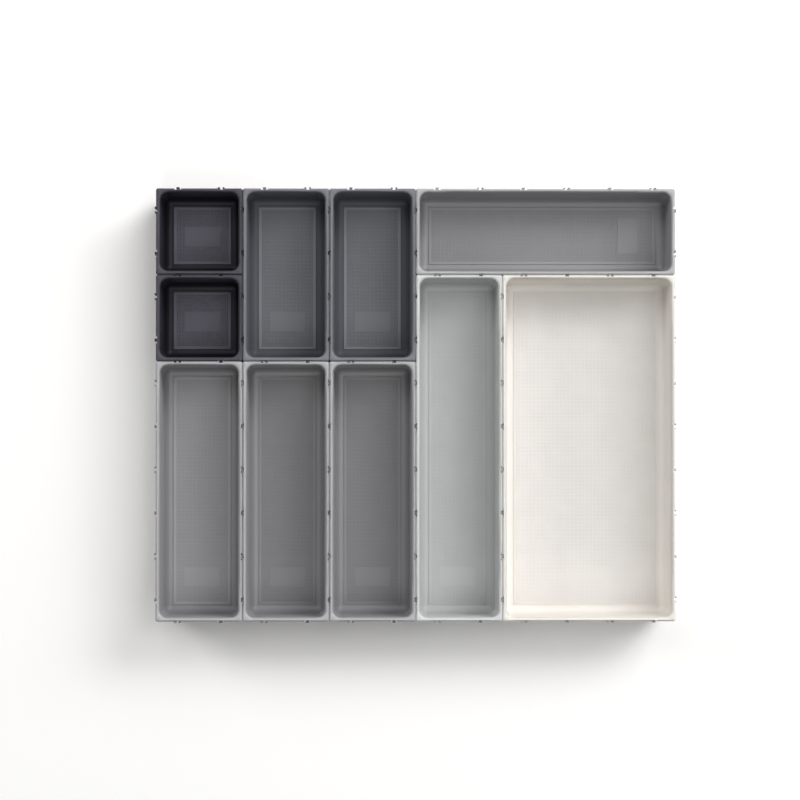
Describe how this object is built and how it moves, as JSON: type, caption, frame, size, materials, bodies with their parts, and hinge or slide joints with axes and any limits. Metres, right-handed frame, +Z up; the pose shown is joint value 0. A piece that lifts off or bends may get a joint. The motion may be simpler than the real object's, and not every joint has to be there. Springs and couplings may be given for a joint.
{
  "type": "drawer organizer insert",
  "caption": "Modular drawer organizer: open trays of graded sizes and grey-to-cream tones that interlock side by side on a square grid.",
  "frame": {"origin": "middle of the whole set, on the surface that it stands on", "axes": "+X along the longer side of the set, +Y towards its back row, +Z up"},
  "size_m": [0.452, 0.377, 0.05],
  "materials": {
    "black": "fine satin moulding",
    "black_lining": "matte soft-touch, fine raised grid",
    "charcoal": "fine satin moulding",
    "charcoal_lining": "matte soft-touch, fine raised grid",
    "mid_grey": "fine satin moulding",
    "mid_grey_lining": "matte soft-touch, fine raised grid",
    "pale_grey": "fine satin moulding",
    "pale_grey_lining": "matte soft-touch, fine raised grid",
    "cream": "fine satin moulding",
    "cream_lining": "matte soft-touch, fine raised grid",
    "foot_rubber": "matte"
  },
  "bodies": {
    "small_tray_a": {"small_tray_a": "black", "small_tray_a_lining": "black_lining", "small_tray_a_feet": "foot_rubber"},
    "small_tray_b": {"small_tray_b": "black", "small_tray_b_lining": "black_lining", "small_tray_b_feet": "foot_rubber"},
    "medium_tray_a": {"medium_tray_a": "charcoal", "medium_tray_a_lining": "charcoal_lining", "medium_tray_a_feet": "foot_rubber"},
    "medium_tray_b": {"medium_tray_b": "charcoal", "medium_tray_b_lining": "charcoal_lining", "medium_tray_b_feet": "foot_rubber"},
    "long_tray_a": {"long_tray_a": "mid_grey", "long_tray_a_lining": "mid_grey_lining", "long_tray_a_feet": "foot_rubber"},
    "long_tray_b": {"long_tray_b": "mid_grey", "long_tray_b_lining": "mid_grey_lining", "long_tray_b_feet": "foot_rubber"},
    "long_tray_c": {"long_tray_c": "mid_grey", "long_tray_c_lining": "mid_grey_lining", "long_tray_c_feet": "foot_rubber"},
    "long_tray_d": {"long_tray_d": "mid_grey", "long_tray_d_lining": "mid_grey_lining", "long_tray_d_feet": "foot_rubber"},
    "extra_long_tray": {"extra_long_tray": "pale_grey", "extra_long_tray_lining": "pale_grey_lining", "extra_long_tray_feet": "foot_rubber"},
    "large_tray": {"large_tray": "cream", "large_tray_lining": "cream_lining", "large_tray_feet": "foot_rubber"}
  },
  "joints": [
    {"name": "small_tray_a_lift", "type": "slide", "parent": "large_tray", "child": "small_tray_a", "axis": [0, 0, 1], "range_m": [0, 0.06]},
    {"name": "small_tray_b_lift", "type": "slide", "parent": "large_tray", "child": "small_tray_b", "axis": [0, 0, 1], "range_m": [0, 0.06]},
    {"name": "medium_tray_a_lift", "type": "slide", "parent": "large_tray", "child": "medium_tray_a", "axis": [0, 0, 1], "range_m": [0, 0.06]},
    {"name": "medium_tray_b_lift", "type": "slide", "parent": "large_tray", "child": "medium_tray_b", "axis": [0, 0, 1], "range_m": [0, 0.06]},
    {"name": "long_tray_a_lift", "type": "slide", "parent": "large_tray", "child": "long_tray_a", "axis": [0, 0, 1], "range_m": [0, 0.06]},
    {"name": "long_tray_b_lift", "type": "slide", "parent": "large_tray", "child": "long_tray_b", "axis": [0, 0, 1], "range_m": [0, 0.06]},
    {"name": "long_tray_c_lift", "type": "slide", "parent": "large_tray", "child": "long_tray_c", "axis": [0, 0, 1], "range_m": [0, 0.06]},
    {"name": "long_tray_d_lift", "type": "slide", "parent": "large_tray", "child": "long_tray_d", "axis": [0, 0, 1], "range_m": [0, 0.06]},
    {"name": "extra_long_tray_lift", "type": "slide", "parent": "large_tray", "child": "extra_long_tray", "axis": [0, 0, 1], "range_m": [0, 0.06]}
  ]
}
